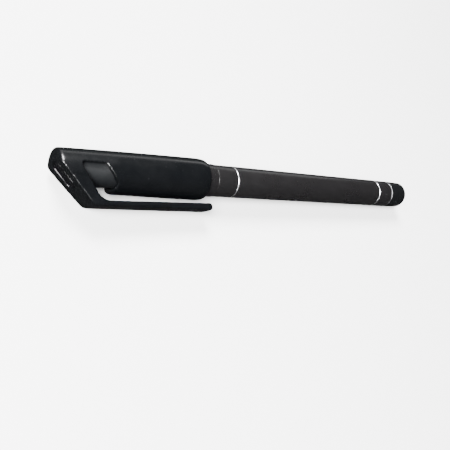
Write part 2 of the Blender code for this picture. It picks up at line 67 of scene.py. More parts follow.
class Wire:
    # a socket that can stand in a sum
    def __init__(self, paint, socket):
        self.paint = paint
        self.socket = socket

    def maths(self, kind, first, second):
        return self.paint.node("ShaderNodeMath", {"operation": kind}, {0: first, 1: second})

    def __add__(self, other):
        return self.maths("ADD", self, other)

    def __radd__(self, other):
        return self.maths("ADD", other, self)

    def __sub__(self, other):
        return self.maths("SUBTRACT", self, other)

    def __rsub__(self, other):
        return self.maths("SUBTRACT", other, self)

    def __mul__(self, other):
        return self.maths("MULTIPLY", self, other)

    def __rmul__(self, other):
        return self.maths("MULTIPLY", other, self)


class Paint:
    # one material; node() adds any node: its type, its settings, then its inputs
    def __init__(self, name, shine):
        self.material = bpy.data.materials.new(name)
        self.material.use_nodes = True
        self.tree = self.material.node_tree
        self.shader = self.tree.nodes["Principled BSDF"]
        for key, value in shine.items():
            self.shader.inputs[key].default_value = value

    def node(self, kind, settings=None, inputs=None, out=0):
        made = self.tree.nodes.new(kind)
        for key, value in (settings or {}).items():
            setattr(made, key, value)
        for key, value in (inputs or {}).items():
            self.feed(made.inputs[key], value)
        return Wire(self, made.outputs[out])

    def feed(self, socket, value):
        if isinstance(value, Wire):
            self.tree.links.new(value.socket, socket)
        else:
            socket.default_value = value

    def set(self, name, value):
        self.feed(self.shader.inputs[name], value)

    def penSpace(self, stretch=(1, 1, 1)):
        # object coordinates turned to lie along the pen, in mm, then stretched
        coords = self.node("ShaderNodeTexCoord", out="Object")
        penCoords = self.node(
            "ShaderNodeMapping",
            {"vector_type": "POINT"},
            {
                "Vector": coords,
                "Location": worldToMm.translation,
                "Rotation": worldToMm.to_euler(),
                "Scale": (1000, 1000, 1000),
            },
        )
        if stretch == (1, 1, 1):
            return penCoords
        return self.node(
            "ShaderNodeMapping",
            {"vector_type": "POINT"},
            {"Vector": penCoords, "Scale": stretch},
        )

    def noise(self, space, size, detail=2.0, rough=0.5):
        # size is in mm
        return self.node(
            "ShaderNodeTexNoise",
            {"noise_dimensions": "3D", "noise_type": "FBM", "normalize": True},
            {"Vector": space, "Scale": 1 / size, "Detail": detail, "Roughness": rough},
            out="Fac",
        )

    def step(self, value, low, high, first=0.0, last=1.0):
        return self.node(
            "ShaderNodeMapRange",
            {"interpolation_type": "SMOOTHSTEP", "clamp": True},
            {"Value": value, "From Min": low, "From Max": high, "To Min": first, "To Max": last},
            out="Result",
        )

    def blend(self, amount, first, second):
        # a Mix node's colours are its sockets 6 and 7, and its colour result is output 2
        first, second = (shade if isinstance(shade, Wire) else (*shade, 1) for shade in (first, second))
        return self.node(
            "ShaderNodeMix",
            {"data_type": "RGBA", "blend_type": "MIX"},
            {0: amount, 6: first, 7: second},
            out=2,
        )

    def bump(self, height, depth, normal=None):
        # depth is in mm
        inputs = {"Height": height, "Strength": 1.0, "Distance": depth / 1000}
        if normal is not None:
            inputs["Normal"] = normal
        return self.node("ShaderNodeBump", None, inputs, out="Normal")


# black plastics; gloss is a roughness, grain and wave are depths in mm
plasticLooks = {
    "cap": {
        "dark": (0.0013, 0.0015, 0.0018),
        "pale": (0.0020, 0.0023, 0.0027),
        "gloss": 0.21,
        "smudge": 0.06,
        "grain": 0.0005,
        "wave": 0.0015,
    },
    "barrel": {
        "dark": (0.0036, 0.0034, 0.0036),
        "pale": (0.0052, 0.0049, 0.0052),
        "gloss": 0.28,
        "smudge": 0.05,
        "grain": 0.0006,
        "wave": 0.0012,
    },
    "tail": {
        "dark": (0.0018, 0.0021, 0.0023),
        "pale": (0.0028, 0.0031, 0.0034),
        "gloss": 0.22,
        "smudge": 0.05,
        "grain": 0.0005,
        "wave": 0.0012,
    },
    "lining": {
        "dark": (0.0034, 0.0038, 0.0043),
        "pale": (0.0050, 0.0055, 0.0062),
        "gloss": 0.34,
        "smudge": 0.08,
        "grain": 0.0016,
        "wave": 0.0015,
    },
    "inlay": {
        "dark": (0.0012, 0.0012, 0.0015),
        "pale": (0.0020, 0.0020, 0.0024),
        "gloss": 0.06,
        "smudge": 0.07,
        "grain": 0.0004,
        "wave": 0.004,
    },
}


def mouldedPlastic(name, look, edgeWear=False):
    paint = Paint(name, {"IOR": 1.5, "Specular IOR Level": 0.42})
    space = paint.penSpace()
    handling = paint.noise(space, 9.0, 3.0, 0.55)
    cloud = paint.noise(space, 2.2, 4.0, 0.6)
    grain = paint.noise(space, 0.09, 2.0, 0.6)
    wave = paint.noise(space, 3.4, 1.0, 0.4)
    # hairline scratches run mostly along the pen
    rubbed = paint.penSpace((0.05, 1.0, 1.0))
    scratch = paint.step(paint.noise(rubbed, 0.16, 1.0, 0.5), 0.74, 0.82)
    scratch = scratch * paint.step(handling, 0.5, 0.66)
    # a few specks of dust caught in the moulding
    distance = paint.node(
        "ShaderNodeTexVoronoi",
        {"voronoi_dimensions": "3D", "feature": "F1"},
        {"Vector": space, "Scale": 0.55, "Randomness": 1.0},
        out="Distance",
    )
    speck = paint.step(distance, 0.045, 0.02)
    tone = paint.blend(cloud, look["dark"], look["pale"])
    lift = speck * 0.2
    rough = look["gloss"] + paint.step(handling, 0.38, 0.66) * look["smudge"] + cloud * 0.05 - 0.03
    rough = rough - scratch * 0.03 + speck * 0.25
    if edgeWear:
        worn = paint.node(
            "ShaderNodeAttribute",
            {"attribute_name": "edgeWear", "attribute_type": "GEOMETRY"},
            out="Fac",
        )
        worn = worn * paint.step(paint.noise(space, 0.9, 3.0, 0.6), 0.35, 0.65, 0.35, 1.0)
        lift = lift + worn * 0.07
        rough = rough - worn * 0.03
    dusty = tuple(min(1.0, shade * 4 + 0.02) for shade in look["pale"])
    paint.set("Base Color", paint.blend(lift, tone, dusty))
    paint.set("Roughness", rough)
    waves = paint.bump(wave, look["wave"])
    paint.set("Normal", paint.bump(grain, look["grain"], waves))
    return paint.material


trimLook = {"bright": (0.86, 0.87, 0.89), "dull": (0.70, 0.71, 0.74), "gloss": 0.2}
dullTrimLook = {"bright": (0.20, 0.20, 0.21), "dull": (0.13, 0.13, 0.14), "gloss": 0.30}


def platedTrim(name, look):
    paint = Paint(name, {"Metallic": 1.0})
    line = paint.noise(paint.penSpace((6.0, 0.6, 0.6)), 0.35, 3.0, 0.6)
    tarnish = paint.noise(paint.penSpace(), 1.1, 4.0, 0.65)
    paint.set("Base Color", paint.blend(paint.step(tarnish, 0.42, 0.72), look["bright"], look["dull"]))
    paint.set("Roughness", look["gloss"] + line * 0.14 + paint.step(tarnish, 0.5, 0.8) * 0.16)
    paint.set("Normal", paint.bump(line, 0.002))
    return paint.material


fibreLook = {"ink": (0.30, 0.105, 0.014), "dry": (0.62, 0.40, 0.17), "dark": (0.10, 0.035, 0.008)}


def pressedFibre(name, look, along):
    paint = Paint(name, {"Specular IOR Level": 0.3})
    strand = paint.noise(paint.penSpace(along), 0.07, 3.0, 0.6)
    blot = paint.noise(paint.penSpace(), 0.8, 3.0, 0.6)
    wet = paint.blend(paint.step(blot, 0.35, 0.7), look["ink"], look["dry"])
    paint.set("Base Color", paint.blend(paint.step(strand, 0.50, 0.30), wet, look["dark"]))
    paint.set("Roughness", 0.55 + strand * 0.4)
    paint.set("Normal", paint.bump(strand, 0.03))
    return paint.material


filmLook = {"tint": (0.80, 0.80, 0.77), "crease": (0.62, 0.60, 0.54)}


def clearFilm(name, look):
    paint = Paint(name, {"IOR": 1.5})
    crease = paint.noise(paint.penSpace((0.12, 1, 1)), 0.9, 3.0, 0.6)
    paint.set("Base Color", paint.blend(paint.step(crease, 0.4, 0.7), look["tint"], look["crease"]))
    paint.set("Roughness", 0.16 + crease * 0.2)
    paint.set("Normal", paint.bump(crease, 0.05))
    return paint.material


floorLook = {
    "shade": (0.80, 0.80, 0.80),
    "deep": (0.775, 0.775, 0.775),
    "mottleScale": 14.0,
    "fibreScale": 1800.0,
}


def paleFloor(name, look):
    paint = Paint(name, {"Specular IOR Level": 0.25})
    coords = paint.node("ShaderNodeTexCoord", out="Object")
    mottleInputs = {"Vector": coords, "Scale": look["mottleScale"], "Detail": 4.0}
    mottle = paint.node("ShaderNodeTexNoise", None, mottleInputs, out="Fac")
    fibreInputs = {"Vector": coords, "Scale": look["fibreScale"], "Detail": 2.0}
    fibre = paint.node("ShaderNodeTexNoise", None, fibreInputs, out="Fac")
    paint.set("Base Color", paint.blend(mottle, look["shade"], look["deep"]))
    paint.set("Roughness", 0.62 + mottle * 0.1)
    paint.set("Normal", paint.bump(fibre, 0.02))
    return paint.material


finishes = {
    "cap": mouldedPlastic("capPlastic", plasticLooks["cap"], edgeWear=True),
    "barrel": mouldedPlastic("barrelPlastic", plasticLooks["barrel"]),
    "tail": mouldedPlastic("tailPlastic", plasticLooks["tail"]),
    "lining": mouldedPlastic("liningPlastic", plasticLooks["lining"]),
    "inlay": mouldedPlastic("inlayGloss", plasticLooks["inlay"]),
    "trim": platedTrim("silverTrim", trimLook),
    "dullTrim": platedTrim("dullTrim", dullTrimLook),
    "nib": pressedFibre("nibFibre", fibreLook, (0.08, 1, 1)),
    "reservoir": pressedFibre("reservoirFibre", fibreLook, (0.03, 1, 1)),
    "film": clearFilm("clearFilm", filmLook),
    "floor": paleFloor("paleFloor", floorLook),
}
print("finishes made:", len(finishes))


# every outline below is in mm along the pen, with its angles in degrees
def arcPoints(centre, radius, start, end, steps):
    points = []
    for step in range(steps + 1):
        angle = math.radians(start + (end - start) * step / steps)
        points.append((centre[0] + radius * math.cos(angle), centre[1] + radius * math.sin(angle)))
    return points


def softened(corners, steps=6, closed=True):
    # corners are (a, b) or (a, b, rounding), and a rounding becomes an arc
    points = []
    count = len(corners)
    for index, corner in enumerate(corners):
        here = Vector(corner[:2])
        rounding = corner[2] if len(corner) > 2 else 0
        atEnd = not closed and index in (0, count - 1)
        if rounding == 0 or atEnd:
            points.append(tuple(here))
            continue
        back = (Vector(corners[index - 1][:2]) - here).normalized()
        ahead = (Vector(corners[(index + 1) % count][:2]) - here).normalized()
        half = back.angle(ahead) / 2
        centre = here + (back + ahead).normalized() * rounding / math.sin(half)
        first = here + back * rounding / math.tan(half) - centre
        last = here + ahead * rounding / math.tan(half) - centre
        begin = math.degrees(math.atan2(first.y, first.x))
        sweep = math.degrees(math.atan2(first.cross(last), first.dot(last)))
        points += arcPoints(centre, rounding, begin, begin + sweep, steps)
    return points


def turned(profile, segments=160, ring=False):
    # turns an (x, radius) profile about the pen's axis; ring joins its last point to its first
    build = bmesh.new()
    rows = []
    for x, radius in profile:
        if radius < 1e-6:
            rows.append([build.verts.new((x, 0, 0))])
            continue
        row = []
        for step in range(segments):
            angle = math.tau * step / segments
            row.append(build.verts.new((x, radius * math.sin(angle), radius * math.cos(angle))))
        rows.append(row)
    pairs = list(zip(rows, rows[1:])) + ([(rows[-1], rows[0])] if ring else [])
    for first, second in pairs:
        for step in range(segments):
            after = (step + 1) % segments
            if len(first) == 1:
                build.faces.new((first[0], second[step], second[after]))
            elif len(second) == 1:
                build.faces.new((first[step], second[0], first[after]))
            else:
                build.faces.new((first[step], second[step], second[after], first[after]))
    bmesh.ops.recalc_face_normals(build, faces=build.faces)
    return build


def prism(outline, place, reach):
    # place is one of the views below, and the prism reaches both ways from its plane
    build = bmesh.new()
    near = [build.verts.new(place(a, b, -reach)) for a, b in outline]
    far = [build.verts.new(place(a, b, reach)) for a, b in outline]
    build.faces.new(near)
    build.faces.new(far)
    for index in range(len(outline)):
        build.faces.new((near[index - 1], near[index], far[index], far[index - 1]))
    bmesh.ops.recalc_face_normals(build, faces=build.faces)
    return build


def sideView(along, drop, across):
    return (along, across, -drop)


def endView(drop, across, along):
    return (along, across, -drop)


def planView(along, across, drop):
    return (along, across, -drop)


def blank(name, build):
    mesh = bpy.data.meshes.new(name)
    build.to_mesh(mesh)
    build.free()
    obj = bpy.data.objects.new(name, mesh)
    bpy.context.scene.collection.objects.link(obj)
    return obj


def joined(obj, steps):
    # runs Booleans on obj one after another and returns the plain result
    for kind, other in steps:
        cut = obj.modifiers.new(other.name, "BOOLEAN")
        cut.operation = kind
        cut.solver = "EXACT"
        cut.object = other
    return settled(obj, [other for _, other in steps])


def settled(obj, helpers=()):
    # swaps obj's mesh for what its modifiers give, then drops them
    graph = bpy.context.evaluated_depsgraph_get()
    mesh = bpy.data.meshes.new_from_object(obj.evaluated_get(graph), depsgraph=graph)
    old = obj.data
    obj.modifiers.clear()
    obj.data = mesh
    bpy.data.meshes.remove(old)
    for helper in helpers:
        bpy.data.objects.remove(helper)
    return obj


def finished(obj, finish, creaseAngle=40):
    # out of mm and into place, with its finish; edges sharper than creaseAngle stay crisp
    mesh = obj.data
    mesh.transform(mmToWorld)
    mesh.materials.clear()
    mesh.materials.append(finishes[finish])
    mesh.shade_smooth()
    if creaseAngle:
        mesh.set_sharp_from_angle(angle=math.radians(creaseAngle))
    obj.matrix_world = Matrix.Identity(4)
    return obj


# cap: turned body, slanted band and pocket clip in one moulding
# a drop is a distance from the pen's axis towards the clip; points are (x, drop) or (x, drop, rounding)
capSizes = {
    "length": 44.7,
    "crownRadius": 5.45,
    "mouthRadius": 6.2,
    "swell": 1.6,
    "crownRound": 0.8,
    "lipReach": 3.0,
    "lipDrop": 0.35,
    "lipRound": 0.6,
    "lipArcStart": 79,
    "mouthBore": 5.15,
    "sleeveBore": 4.4,
    "boreStep": 22.0,
    "boreGap": 0.3,
    "slant": 0.855,
    "faceX": 1.0,
    "faceEdge": 0.55,
    "bandBack": 5.95,
    "bandSlant": 0.633,
    "voxel": 0.243,
    "softening": 9,
    "remeshTilt": (0.35, 0.55, 0.4),
    "flexFrom": 6.3,
    "flexTo": 7.2,
}
clipSizes = {
    "inner": 7.95,
    "outer": 9.73,
    "innerRise": 0.018,
    "outerRise": 0.004,
    "tip": 46.46,
    "tipRound": 1.0,
    "tipPlanRound": 0.5,
    "outerBend": 4.0,
    "innerBend": 4.6,
    "edge": 0.42,
    "edgeAngle": 55,
    "flatHalf": 4.38,
    "tipHalf": 3.38,
    "domeStart": 0.020,
    "domeEnd": 0.055,
    "bandTop": (1.5, -1.9),
    "bandShoulder": -1.0,
    "bandBlock": [(-3, -4), (-3, 9), (7, 9), (7, 0.5), (12, 0.5), (12, -4)],
    "flank": [(-3.2, 3.4), (0.4, 5.36), (4.0, 5.12)],  # (drop, half width) down the band
    "flankEnd": 9.9,
    "plan": [(-4, 6.5), (8.5, 5.4)],  # (x, half width) along the pen
    "armStart": 13,
}
windowSizes = {
    "top": -1.5,
    "backRound": 0.6,
    "topCorner": (11.8, 0.35),
    "corner": (15.5, 3.5, 0.9),
    "lip": (14.9, 5.1, 0.3),
    "end": 16.6,
    "endGap": 0.3,
    "bottom": 7.3,
}
sleeveSizes = {
    "radius": 4.1,
    "inside": 3.5,
    "end": 3.3,
    "flat": 1.8,
    "floor": 0.8,
    "flangeX": 22.3,
    "flangeRadius": 4.9,
    "open": 23.5,
    "mouthStep": (0.9, 0.35),
}


def capRadius(x):
    x = np.asarray(x, float)
    left = np.maximum(0.0, 1.0 - x / capSizes["length"])
    turnedIn = np.maximum(0.0, 1.0 - (capSizes["length"] - x) / capSizes["lipReach"])
    swelling = (capSizes["mouthRadius"] - capSizes["crownRadius"]) * left ** capSizes["swell"]
    return capSizes["mouthRadius"] - swelling - capSizes["lipDrop"] * turnedIn**2


def faceX(drop):
    return capSizes["faceX"] + capSizes["slant"] * drop


def bandBackX(drop):
    return capSizes["bandBack"] + capSizes["bandSlant"] * drop


def sleeveEndX(z):
    # the closed end of the lining is slanted like the end face, down to a flat
    return max(sleeveSizes["flat"], sleeveSizes["end"] - capSizes["slant"] * z)


def capBody():
    crown, lip, length = capSizes["crownRound"], capSizes["lipRound"], capSizes["length"]
    profile = [(0, 0)]
    profile += arcPoints((crown, float(capRadius(crown)) - crown), crown, 180, 90, 6)
    for x in np.linspace(crown, length - lip, 40)[1:]:
        profile.append((x, float(capRadius(x))))
    lipCentre = (length - lip, float(capRadius(length - lip)) - lip)
    profile += arcPoints(lipCentre, lip, capSizes["lipArcStart"], 0, 8)
    profile.append((length, 0))
    return blank("capBody", turned(profile, 192))


def mirrored(half):
    return half + [(corner[0], -corner[1], *corner[2:]) for corner in reversed(half)]


def clipDome(start=5, pastTip=2, halfWidth=6):
    # block whose underside is domed across, more so towards the tip
    build = bmesh.new()
    rows = []
    for share in np.linspace(0, 1, 9):
        x = start + (clipSizes["tip"] + pastTip - start) * share
        fall = clipSizes["domeStart"] + (clipSizes["domeEnd"] - clipSizes["domeStart"]) * share
        row = [(x, halfWidth, 0), (x, -halfWidth, 0)]
        for across in np.linspace(-halfWidth, halfWidth, 31):
            row.append((x, across, fall * across**2 - clipSizes["outer"]))
        rows.append([build.verts.new(point) for point in row])
    for first, second in zip(rows, rows[1:]):
        for index in range(len(first)):
            build.faces.new((first[index - 1], first[index], second[index], second[index - 1]))
    build.faces.new(rows[0])
    build.faces.new(rows[-1])
    bmesh.ops.recalc_face_normals(build, faces=build.faces)
    return blank("clipDome", build)


def bandAndClip():
    outer, inner, tip = clipSizes["outer"], clipSizes["inner"], clipSizes["tip"]
    shoulder, topDrop = clipSizes["bandShoulder"], clipSizes["bandTop"][1]
    bendX = faceX(outer)
    side = [
        (faceX(shoulder), shoulder),
        (bendX, outer, clipSizes["outerBend"]),
        (tip, outer - clipSizes["outerRise"] * (tip - bendX), clipSizes["tipRound"]),
        (tip, inner - clipSizes["innerRise"] * (tip - bendX), clipSizes["tipRound"]),
        (bandBackX(inner), inner, clipSizes["innerBend"]),
        (bandBackX(topDrop), topDrop),
        clipSizes["bandTop"],
    ]
    flank = clipSizes["flank"] + [(clipSizes["flankEnd"], clipSizes["flatHalf"])]
    plan = clipSizes["plan"] + [
        (clipSizes["armStart"], clipSizes["flatHalf"]),
        (tip, clipSizes["tipHalf"], clipSizes["tipPlanRound"]),
    ]
    arm = joined(
        blank("clipArm", prism(softened(side, 10), sideView, reach=8)),
        [
            ("INTERSECT", blank("flankView", prism(mirrored(flank), endView, reach=60))),
            ("INTERSECT", blank("clipPlan", prism(softened(mirrored(plan), 10), planView, reach=20))),
            ("INTERSECT", clipDomeAndBand()),
        ],
    )
    edge = arm.modifiers.new("edge", "BEVEL")
    edge.width = clipSizes["edge"]
    edge.segments = 3
    edge.limit_method = "ANGLE"
    edge.angle_limit = math.radians(clipSizes["edgeAngle"])
    return settled(arm)


def clipDomeAndBand():
    # the dome only trims the clip, so the band is added to its block
    band = blank("bandBlock", prism(clipSizes["bandBlock"], sideView, reach=7))
    return joined(clipDome(), [("UNION", band)])


def endFaceCut(top=-9, bottom=14, front=-14):
    outline = [(faceX(top), top), (faceX(bottom), bottom), (front, bottom), (front, top)]
    return blank("endFace", prism(outline, sideView, reach=9))


def windowCut():
    top, end, bottom = (windowSizes[key] for key in ("top", "end", "bottom"))
    topCornerX, topCornerRound = windowSizes["topCorner"]
    outline = [
        (bandBackX(top), top, windowSizes["backRound"]),
        (topCornerX, top, topCornerRound),
        windowSizes["corner"],
        windowSizes["lip"],
        (end, float(capRadius(end)) + windowSizes["endGap"]),
        (end, bottom),
        (bandBackX(bottom), bottom),
    ]
    return blank("window", prism(softened(outline), sideView, reach=8))


def boreCut(name, start, end, radius):
    return blank(name, turned([(start, 0), (start, radius), (end, radius), (end, 0)], 128))


def boreCuts(pastMouth=50):
    step = capSizes["boreStep"]
    mouth = boreCut("mouthBore", step, pastMouth, capSizes["mouthBore"])
    sleeve = boreCut("sleeveBore", sleeveSizes["end"], step + 1, capSizes["sleeveBore"])
    for vert in sleeve.data.vertices:
        if vert.co.x < step:
            vert.co.x = sleeveEndX(vert.co.z) - capSizes["boreGap"]
    return mouth, sleeve


inlaySizes = {
    "length": 8.0,
    "halfWidth": 2.0,
    "cornerShare": 0.8,
    "centreDrop": 1.7,
    "thick": 0.72,
    "sunk": 0.1,
    "dish": 0.52,
    "rim": [(0.0, 0.14), (-0.04, 0.05), (-0.13, 0.0)],
    "midline": 0.05,
    "recessGap": 0.12,
    "recessDepth": 0.75,
}


def inlayOutline(margin, steps=8):
    reach, half = inlaySizes["length"] / 2 + margin, inlaySizes["halfWidth"] + margin
    corner = half * inlaySizes["cornerShare"]
    corners = [(a, b, corner) for a, b in ((-reach, -half), (reach, -half), (reach, half), (-reach, half))]
    return softened(corners, steps)


def onEndFace(alongFace, across, depth):
    slant = capSizes["slant"]
    down = Vector((slant, 0, -1)).normalized()
    inward = Vector((1, 0, slant)).normalized()
    centre = Vector((faceX(inlaySizes["centreDrop"]), 0, -inlaySizes["centreDrop"]))
    return centre + down * alongFace + Vector((0, across, 0)) + inward * depth


def softenFaceEdge(obj):
    # rounds the rim of the slanted end face, where one of an edge's two faces lies in its plane
    build = bmesh.new()
    build.from_mesh(obj.data)
    inward = Vector((1, 0, capSizes["slant"])).normalized()
    onPlane = Vector((capSizes["faceX"], 0, 0))

    def inPlane(face):
        distance = abs((face.calc_center_median() - onPlane).dot(inward))
        return distance < 0.01 and abs(face.normal.dot(inward)) > 0.999

    rim = []
    for edge in build.edges:
        if [inPlane(face) for face in edge.link_faces] in ([True, False], [False, True]):
            rim.append(edge)
    bmesh.ops.bevel(
        build,
        geom=rim,
        offset=capSizes["faceEdge"],
        segments=3,
        profile=0.5,
        affect="EDGES",
        clamp_overlap=True,
    )
    build.to_mesh(obj.data)
    build.free()


def snapToWall(co, reach=0.12, fade=0.05):
    # the remesh is a little uneven, so what lies on the turned walls goes back onto them exactly
    x = co[:, 0]
    radius = np.hypot(co[:, 1], co[:, 2])
    # each wall stops short of its ends, where the corners are round
    walls = (
        (capRadius(x), (x > 1.2) & (x < 43.9)),
        (capSizes["mouthBore"], (x > 22.4) & (x < 44.1)),
        (capSizes["sleeveBore"], (x > 3.0) & (x < 21.6)),
    )
    for target, along in walls:
        off = np.abs(radius - target)
        pull = np.clip((reach - off) / fade, 0, 1) * along
        scale = 1 + pull * (target / np.maximum(radius, 1e-6) - 1)
        co[:, 1] *= scale
        co[:, 2] *= scale
        radius = np.hypot(co[:, 1], co[:, 2])
    return co


def markEdges(mesh, wornFrom=0.35, wornSpan=0.8, softPasses=2):
    # how sharply each point turns outward, kept for wear along the edges
    count = len(mesh.vertices)
    co = np.zeros(count * 3)
    normal = np.zeros(count * 3)
    mesh.vertices.foreach_get("co", co)
    mesh.vertices.foreach_get("normal", normal)
    co, normal = co.reshape(-1, 3), normal.reshape(-1, 3)
    pairs = np.zeros(len(mesh.edges) * 2, int)
    mesh.edges.foreach_get("vertices", pairs)
    pairs = pairs.reshape(-1, 2)
    turn = np.zeros(count)
    links = np.zeros(count)
    for first, second in ((0, 1), (1, 0)):
        here, there = pairs[:, first], pairs[:, second]
        step = co[there] - co[here]
        fall = -(step * normal[here]).sum(1) / np.maximum((step * step).sum(1), 1e-9)
        np.add.at(turn, here, fall)
        np.add.at(links, here, 1)
    turn = turn / np.maximum(links, 1)
    for _ in range(softPasses):
        soft = np.zeros(count)
        for first, second in ((0, 1), (1, 0)):
            np.add.at(soft, pairs[:, first], turn[pairs[:, second]])
        turn = 0.5 * turn + 0.5 * soft / np.maximum(links, 1)
    worn = np.clip((turn - wornFrom) / wornSpan, 0, 1)
    layer = mesh.attributes.new("edgeWear", "FLOAT", "POINT")
    layer.data.foreach_set("value", worn.astype(np.float32))


def makeCap():
    cap = capBody()
    joined(cap, [("DIFFERENCE", windowCut()), ("UNION", bandAndClip()), ("DIFFERENCE", endFaceCut())])
    softenFaceEdge(cap)
    mouth, sleeve = boreCuts()
    outline = inlayOutline(inlaySizes["recessGap"])
    recess = blank("recess", prism(outline, onEndFace, inlaySizes["recessDepth"]))
    joined(cap, [("DIFFERENCE", mouth), ("DIFFERENCE", sleeve), ("DIFFERENCE", recess)])
    # turned while it is remeshed, so that no long face lies nearly flat on the grid
    tilt = Euler(capSizes["remeshTilt"]).to_matrix().to_4x4()
    cap.data.transform(tilt)
    skin = cap.modifiers.new("skin", "REMESH")
    skin.mode = "VOXEL"
    skin.voxel_size = capSizes["voxel"]
    soft = cap.modifiers.new("soften", "SMOOTH")
    soft.factor = 0.5
    soft.iterations = capSizes["softening"]
    settled(cap)
    cap.data.transform(tilt.inverted())
    co = np.zeros(len(cap.data.vertices) * 3)
    cap.data.vertices.foreach_get("co", co)
    co = snapToWall(co.reshape(-1, 3))
    cap.data.vertices.foreach_set("co", co.ravel())
    cap.data.update()
    markEdges(cap.data)
    cap.name = "capMoulding"
    finished(cap, "cap", creaseAngle=0)
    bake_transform(cap)
    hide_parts("cap_shell", "pocket_clip")
    return cap


cap = makeCap()
print("cap moulded:", len(cap.data.polygons), "faces")


# gloss inlay in the end face: a shallow trough with a soft rim
def makeInlay(steps=14):
    # each level is (margin, depth): the outline grown by margin, that deep in the cap
    sunk, rim = inlaySizes["sunk"], inlaySizes["rim"]
    levels = [(0.0, inlaySizes["thick"])] + [(margin, sunk + depth) for margin, depth in rim]
    rimWidth = -rim[-1][0]
    for step in range(1, steps + 1):
        inward = rimWidth + (inlaySizes["halfWidth"] - rimWidth - inlaySizes["midline"]) * step / steps
        levels.append((-inward, sunk + inlaySizes["dish"] * (1 - (1 - step / steps) ** 2) ** 0.5))
    build = bmesh.new()
    rows = []
    for margin, depth in levels:
        rows.append([build.verts.new(onEndFace(a, b, depth)) for a, b in inlayOutline(margin)])
    for first, second in zip(rows, rows[1:]):
        for index in range(len(first)):
            build.faces.new((first[index - 1], first[index], second[index], second[index - 1]))
    build.faces.new(rows[0])
    build.faces.new(rows[-1])
    bmesh.ops.recalc_face_normals(build, faces=build.faces)
    inlay = finished(blank("crownInlay", build), "inlay")
    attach(inlay, "cap")
    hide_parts("crown_inlay")


makeInlay()


# lining tube seen through the window
def makeSleeve():
    radius, inside, end, floor = (sleeveSizes[key] for key in ("radius", "inside", "end", "floor"))
    flangeX, flangeRadius, openX = (sleeveSizes[key] for key in ("flangeX", "flangeRadius", "open"))
    stepBack, stepOut = sleeveSizes["mouthStep"]
    corners = [
        (end, 0),
        (end, radius, 0.3),
        (flangeX, radius, 0.15),
        (flangeX, flangeRadius, 0.12),
        (openX, flangeRadius, 0.2),
        (openX, inside + stepOut, 0.12),
        (openX - stepBack, inside, 0.3),
        (end + floor, inside, 0.3),
        (end + floor, 0),
    ]
    build = turned(softened(corners, 5, closed=False), 160)
    for vert in build.verts:
        if vert.co.x < end + 2 * floor:
            vert.co.x = sleeveEndX(vert.co.z) + vert.co.x - end
    sleeve = finished(blank("capSleeve", build), "lining")
    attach(sleeve, "cap")
    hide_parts("cap_inner_sleeve")


makeSleeve()
print("cap fittings made")


# trim rings: one rounded wire, placed along the pen at a spacing
ringSizes = {
    "trimRings": {
        "Start": 55.4,
        "Spacing": 68.1,
        "Count": 2,
        "Ring Radius": 4.88,
        "Wire Radius": 0.2,
        "Segments": 160,
    },
    "tailTrimRing": {
        "Start": 131.1,
        "Spacing": 1.0,
        "Count": 1,
        "Ring Radius": 4.86,
        "Wire Radius": 0.22,
        "Segments": 160,
    },
}


def ringTree(name, finish):
    tree = bpy.data.node_groups.new(name + "Tree", "GeometryNodeTree")
    tree.is_modifier = True
    sockets = tree.interface
    sockets.new_socket("Geometry", in_out="INPUT", socket_type="NodeSocketGeometry")
    for label, value in ringSizes[name].items():
        kind = "NodeSocketInt" if isinstance(value, int) else "NodeSocketFloat"
        sockets.new_socket(label, in_out="INPUT", socket_type=kind)
    sockets.new_socket("Geometry", in_out="OUTPUT", socket_type="NodeSocketGeometry")

    def add(kind, settings=None, inputs=None):
        made = tree.nodes.new(kind)
        for key, value in (settings or {}).items():
            setattr(made, key, value)
        for key, value in (inputs or {}).items():
            if isinstance(value, bpy.types.NodeSocket):
                tree.links.new(value, made.inputs[key])
            else:
                made.inputs[key].default_value = value
        return made

    given = add("NodeGroupInput").outputs
    middle = add(
        "ShaderNodeMath",
        {"operation": "SUBTRACT"},
        {0: given["Ring Radius"], 1: given["Wire Radius"]},
    ).outputs[0]
    circle = add(
        "GeometryNodeCurvePrimitiveCircle",
        None,
        {"Resolution": given["Segments"], "Radius": middle},
    ).outputs["Curve"]
    section = add(
        "GeometryNodeCurvePrimitiveCircle",
        None,
        {"Resolution": 20, "Radius": given["Wire Radius"]},
    ).outputs["Curve"]
    wire = add("GeometryNodeCurveToMesh", None, {"Curve": circle, "Profile Curve": section}).outputs["Mesh"]
    upright = add(
        "GeometryNodeTransform",
        None,
        {"Geometry": wire, "Rotation": (0, math.pi / 2, 0)},
    ).outputs["Geometry"]
    start = add("ShaderNodeCombineXYZ", None, {"X": given["Start"]}).outputs[0]
    offset = add("ShaderNodeCombineXYZ", None, {"X": given["Spacing"]}).outputs[0]
    line = add(
        "GeometryNodeMeshLine",
        {"mode": "OFFSET"},
        {"Count": given["Count"], "Start Location": start, "Offset": offset},
    ).outputs["Mesh"]
    placed = add(
        "GeometryNodeInstanceOnPoints",
        None,
        {"Points": line, "Instance": upright},
    ).outputs["Instances"]
    real = add("GeometryNodeRealizeInstances", None, {"Geometry": placed}).outputs["Geometry"]
    dressed = add("GeometryNodeSetMaterial", None, {"Geometry": real, "Material": finishes[finish]})
    add("NodeGroupOutput", None, {"Geometry": dressed.outputs["Geometry"]})
    return tree


